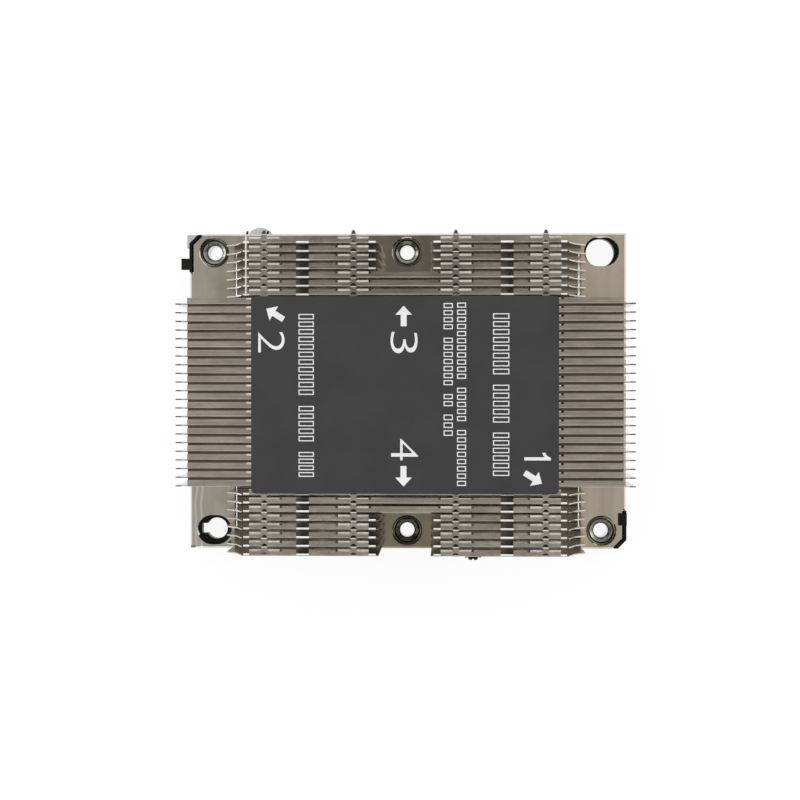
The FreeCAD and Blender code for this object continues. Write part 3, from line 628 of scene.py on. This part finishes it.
def makeThumbMarks():
    # two dark nibs on the clear thumb tab, close to the plate's edge
    look = markLook
    marks = Gathered()
    for place in look["places"]:
        nearY, farY = look["nearY"], look["nearY"] + look["deep"]
        left, right, lean = place - look["wide"] / 2, place + look["wide"] / 2, look["lean"]
        corners = [(left, nearY), (right, nearY), (right + lean, farY), (left + lean, farY)]
        marks.addWalls(*(np.array([(x, y, height) for x, y in corners]) * mm for height in look["heights"]))
    marks.finish("thumbMarks", mouldedPlastic, "carrier_plastic")


makeThumbMarks()
print("rims, tips and marks made")

# the thin pale bar across the seven upper left rows
stripLook = {"placeX": -37.3, "lowY": 22.5, "highY": 36.5, "baseZ": 25.47,
             "radius": 0.20, "rise": 0.07, "steps": 9}

paleStrip = Gathered()
paleStrip.addBead(**stripLook)
paleStrip.finish("paleStrip", finMetal, "fin_plate")
print("pale strip made")


# Label

labelLook = {"cornerMm": 1.0, "edgeMm": 0.04, "cornerSteps": 8, "inkMm": 0.012}


def roundedOutline(halfX, halfY, radius, steps):
    # four quarter circles of the radius, each about its own corner centre, joined by straight sides
    turn = np.linspace(0, math.pi / 2, steps)
    starts = np.arange(4)[:, None] * math.pi / 2
    angles = starts + turn[None, :]
    signs = np.array([[1, 1], [-1, 1], [-1, -1], [1, -1]])
    centres = signs[:, None, :] * np.array([halfX - radius, halfY - radius])
    ring = centres + radius * np.stack([np.cos(angles), np.sin(angles)], axis=-1)
    return ring.reshape(-1, 2)


def makeLabel():
    # stacked rounded outlines: underside, wall, bevelled rim and top, each a ring at its own height
    low, high = (np.array(corner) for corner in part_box("label"))
    middle, half = (low + high) / 2, (high - low) / 2
    edge = labelLook["edgeMm"] * mm
    top = high[2] - labelLook["inkMm"] * mm
    radius = labelLook["cornerMm"] * mm
    rings = []
    for inset, height in ((edge, low[2]), (0, low[2] + edge), (0, top - edge), (edge, top)):
        ring = roundedOutline(half[0] - inset, half[1] - inset, radius - inset, labelLook["cornerSteps"])
        rings.append(np.column_stack([ring + middle[:2], np.full(len(ring), height)]))
    count = len(rings[0])
    faces = gridFaces(len(rings), count, True)
    faces.append(list(range(count))[::-1])
    faces.append(list(range((len(rings) - 1) * count, len(rings) * count)))
    label = meshObject("labelSheet", np.concatenate(rings), faces, labelFilm)
    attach(label, "heatsink")
    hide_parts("label")
    return top


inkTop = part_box("label")[1][2]
inkBase = makeLabel()
print("label made")


# Print on the label: plain numbers, arrows and rows of small frames

printLook = {
    "arrowLength": 4.8, "arrowHead": 2.1, "arrowWidth": 3.9, "arrowShaft": 1.4,
    "frameShare": 0.70, "strokeMm": 0.23, "digitThinning": 0.014,
}
digitBoxes = {  # low X, high X, then where the digit starts and ends along Y
    "2": (-34.5, -28.2, 14.1, 9.2), "3": (-3.3, 3.05, 14.1, 9.0),
    "4": (-3.15, 3.15, -11.1, -16.1), "1": (28.0, 34.2, -14.3, -16.1),
}
plainOne = [(1.05, 0.0), (1.8, 0.0), (1.8, 6.2), (1.2, 6.2), (0.95, 5.65), (0.55, 5.2),
            (0.0, 4.9), (0.0, 4.2), (0.55, 4.4), (1.05, 4.8)]
arrowPlaces = [(-30.45, 18.2, 148.0), (-0.2, 17.7, 90.0), (-0.25, -19.85, -90.0), (30.1, -20.25, -32.0)]
frameRows = [  # low X, high X, length of one frame's step, then the ends of each run along Y
    (-24.9, -21.3, 1.77, [(18.2, -1.3), (-3.4, -12.2), (-14.2, -20.5)]),
    (20.7, 24.5, 1.86, [(18.3, 3.5), (1.6, -7.8), (-9.6, -20.25)]),
    (12.3, 14.4, 1.66, [(20.8, 2.5), (0.9, -7.4), (-9.0, -22.6)]),
    (9.15, 11.3, 1.66, [(20.7, 14.1), (12.6, 1.0), (-0.6, -3.9), (-5.4, -10.9)]),
]


def inkOutline(ink, outline):
    # a flat outline given thickness: the same ring at the ink's foot and at its top
    ring = np.asarray(outline) * mm
    if np.sum(ring[:, 0] * np.roll(ring[:, 1], -1) - ring[:, 1] * np.roll(ring[:, 0], -1)) < 0:
        ring = ring[::-1]
    ink.addWalls(*(np.column_stack([ring, np.full(len(ring), height)]) for height in (inkBase, inkTop)))


def inkFrame(ink, lowX, highX, lowY, highY, stroke):
    # a rectangle with a rectangular window: four corners outside, four inside, at two heights
    corners = []
    for inset in (0, stroke):
        corners += [(lowX + inset, lowY + inset), (highX - inset, lowY + inset),
                    (highX - inset, highY - inset), (lowX + inset, highY - inset)]
    flat = np.array(corners) * mm
    points = np.concatenate([np.column_stack([flat, np.full(8, height)]) for height in (inkBase, inkTop)])
    faces = []
    for i in range(4):
        j = (i + 1) % 4
        faces += [[8 + i, 8 + j, 12 + j, 12 + i], [i, 4 + i, 4 + j, j],
                  [i, j, 8 + j, 8 + i], [4 + i, 12 + i, 12 + j, 4 + j]]
    ink.add(points, faces)


def inkDigit(ink, digit, lowX, highX, startY, endY):
    # the built-in sans digit, stretched to its box with its top towards +X
    curve = bpy.data.curves.new("digit", "FONT")
    curve.body = digit
    curve.extrude = 0.5
    curve.offset = -printLook["digitThinning"]
    holder = bpy.data.objects.new("digit", curve)
    bpy.context.collection.objects.link(holder)
    solid = bmesh.new()
    solid.from_mesh(bpy.data.meshes.new_from_object(holder))
    bmesh.ops.remove_doubles(solid, verts=solid.verts, dist=1e-5)
    flat = np.array([vertex.co[:] for vertex in solid.verts])
    faces = [[vertex.index for vertex in face.verts] for face in solid.faces]
    solid.free()
    bpy.data.objects.remove(holder)
    low, high = flat.min(axis=0), flat.max(axis=0)
    share = (flat - low) / (high - low)
    ink.add(np.column_stack([(lowX + share[:, 1] * (highX - lowX)) * mm,
                             (startY - share[:, 0] * (startY - endY)) * mm,
                             inkBase + share[:, 2] * (inkTop - inkBase)]), faces)


def makePrint():
    look = printLook
    ink = Gathered()
    for digit, (lowX, highX, startY, endY) in digitBoxes.items():
        if digit == "1":
            inkOutline(ink, [(lowX + up, startY - along) for along, up in plainOne])
        else:
            inkDigit(ink, digit, lowX, highX, startY, endY)
    halfHead, halfShaft = look["arrowWidth"] / 2, look["arrowShaft"] / 2
    tip, tail = look["arrowLength"] / 2, -look["arrowLength"] / 2
    neck = tip - look["arrowHead"]
    arrow = np.array([(tip, 0), (neck, halfHead), (neck, halfShaft), (tail, halfShaft),
                      (tail, -halfShaft), (neck, -halfShaft), (neck, -halfHead)])
    for centreX, centreY, degrees in arrowPlaces:
        angle = math.radians(degrees)
        turn = np.array([[math.cos(angle), math.sin(angle)], [-math.sin(angle), math.cos(angle)]])
        inkOutline(ink, arrow @ turn + (centreX, centreY))
    for lowX, highX, step, runs in frameRows:
        for start, end in runs:
            count = max(1, round((start - end) / step))
            pitch = (start - end) / count
            for top in start - pitch * np.arange(count):
                inkFrame(ink, lowX, highX, top - pitch * look["frameShare"], top, look["strokeMm"])
    ink.finish("labelPrint", labelInk, "label_film")


makePrint()
print("print made")


# Floor, light and camera

stageLook = {"sizeM": 4.0, "hex": "FBFBFB", "shadowShare": 0.08, "belowMm": 0.02}


def makeFloor():
    # a pale plane just under the part; what the camera, metal and clear film see is mostly plain white
    look = stageLook
    half, height = look["sizeM"] / 2, cadBounds[0][2] - look["belowMm"] * mm
    material, add = newMaterial("paleFloor")
    path = add("LightPath")
    seen = add("Math", [(path, "Is Camera Ray"), (path, "Is Glossy Ray")], operation="MAXIMUM")
    seenThrough = add("Math", [seen, (path, "Is Transmission Ray")], operation="MAXIMUM")
    share = add("Math", [seenThrough, 1 - look["shadowShare"]], operation="MULTIPLY")
    matt = add("BsdfDiffuse", {"Color": look["hex"]})
    glow = add("Emission", {"Color": "FFFFFF", "Strength": 1.0})
    add("OutputMaterial", [add("MixShader", [share, matt, glow])])
    floor = meshObject("paleFloor", [(-half, -half, height), (half, -half, height),
                                     (half, half, height), (-half, half, height)],
                       [[0, 1, 2, 3]], material)


worldLook = {
    # angle from the dim spot's middle in degrees, brightness, colour
    "sky": [(0, 0.12, "FFF6EA"), (4.6, 0.14, "FFF6EA"), (6.4, 0.47, "FFF7EC"), (14, 0.50, "FFF9F2"),
            (28, 0.95, "FFFFFF"), (45, 1.4, "FFFFFF"), (90, 1.4, "FFFFFF")],
    "brightest": 1.4, "towardsBack": 0.72, "spotTiltDegrees": (-1.5, 2.0),
    # what metal and clear film see: the white background, dimmed above, where the camera hangs
    "mirrored": [(0, 0.12, "FFF6EA"), (4.6, 0.14, "FFF6EA"), (6.4, 0.47, "FFF7EC"), (14, 0.50, "FFF9F2"),
                 (28, 0.85, "FFFFFF"), (36, 1.0, "FFFFFF"), (90, 1.0, "FFFFFF")],
    "frontShare": 0.25, "frontFromY": -0.10,  # the room's front, where no backdrop stands, is dimmer
}


def skyStops(name, brightest):
    # a ramp's stops over the angle from the dim spot's middle, as shares of the half turn
    return [(degrees / 180, [level / brightest * part for part in linearColour(tint)[:3]] + [1.0])
            for degrees, level, tint in worldLook[name]]


def makeWorld():
    # dim straight above, where the camera hangs, brighter towards the sides and brightest at the back
    look = worldLook
    world = bpy.data.worlds.new("softRoom")
    bpy.context.scene.world = world
    world.use_nodes = True
    world.node_tree.nodes.clear()
    add = functools.partial(addNode, world.node_tree)
    where, path = add("TexCoord"), add("LightPath")
    parts = add("SeparateXYZ", [(where, "Generated")])
    leanX, leanY = (math.radians(tilt) for tilt in look["spotTiltDegrees"])
    spot = Vector((leanX, leanY, 1.0)).normalized()
    toSpot = add("VectorMath", [(where, "Generated"), spot], operation="DOT_PRODUCT")
    angle = add("Math", [toSpot], operation="ARCCOSINE")
    share = add("MapRange", [angle, 0.0, math.pi, 0.0, 1.0])
    sky = add("ValToRGB", [share], skyStops("sky", look["brightest"]))
    mirrored = add("ValToRGB", [share], skyStops("mirrored", 1.0))
    tilt = add("MapRange", [(parts, "Y"), -1.0, 1.0, 1 - look["towardsBack"], 1 + look["towardsBack"]])
    level = add("Math", [tilt, look["brightest"]], operation="MULTIPLY")
    front = add("MapRange", [(parts, "Y"), -1.0, look["frontFromY"], look["frontShare"], 1.0])
    light = add("Background", [sky, level])
    seen = add("Background", [mirrored, front])
    plain = add("Background", ["FFFFFF", 1.0])
    reflects = add("Math", [(path, "Is Glossy Ray"), (path, "Is Transmission Ray")], operation="MAXIMUM")
    room = add("MixShader", [reflects, light, seen])
    add("OutputWorld", [add("MixShader", [(path, "Is Camera Ray"), room, plain])])


lampPlaces = {  # position in metres, size in metres, power in watts
    "leftSoftbox": ((-0.55, 0.10, 0.50), 0.35, 0.9),
    "rightSoftbox": ((0.60, 0.15, 0.45), 0.35, 0.8),
}


def makeLamps():
    for name, (place, wide, power) in lampPlaces.items():
        lamp = bpy.data.lights.new(name, "AREA")
        lamp.size = wide
        lamp.energy = power
        holder = bpy.data.objects.new(name, lamp)
        holder.location = place
        holder.rotation_euler = (-Vector(place)).to_track_quat("-Z", "Y").to_euler()
        bpy.context.collection.objects.link(holder)


cameraLook = {"placeMm": (10.9, 1.54, 389.4), "aimMm": (-1.76, -2.18, 4.5), "lens": 69.9, "sensor": 36.0}


def makeCamera():
    # straight above, a little right of the middle, with the picture's top towards +Y
    data = bpy.data.cameras.new("camera")
    data.lens = cameraLook["lens"]
    data.sensor_width = cameraLook["sensor"]
    data.clip_start = 0.01
    camera = bpy.data.objects.new("camera", data)
    place = Vector(cameraLook["placeMm"]) * mm
    aim = Vector(cameraLook["aimMm"]) * mm
    ahead = (aim - place).normalized()
    right = ahead.cross(Vector((0, 1, 0))).normalized()
    turned = Matrix((right, right.cross(ahead), -ahead)).transposed().to_4x4()
    camera.matrix_world = Matrix.Translation(place) @ turned
    bpy.context.collection.objects.link(camera)
    bpy.context.scene.camera = camera


makeFloor()
makeWorld()
makeLamps()
makeCamera()
bpy.context.scene.view_settings.view_transform = "Standard"
print("stage set")
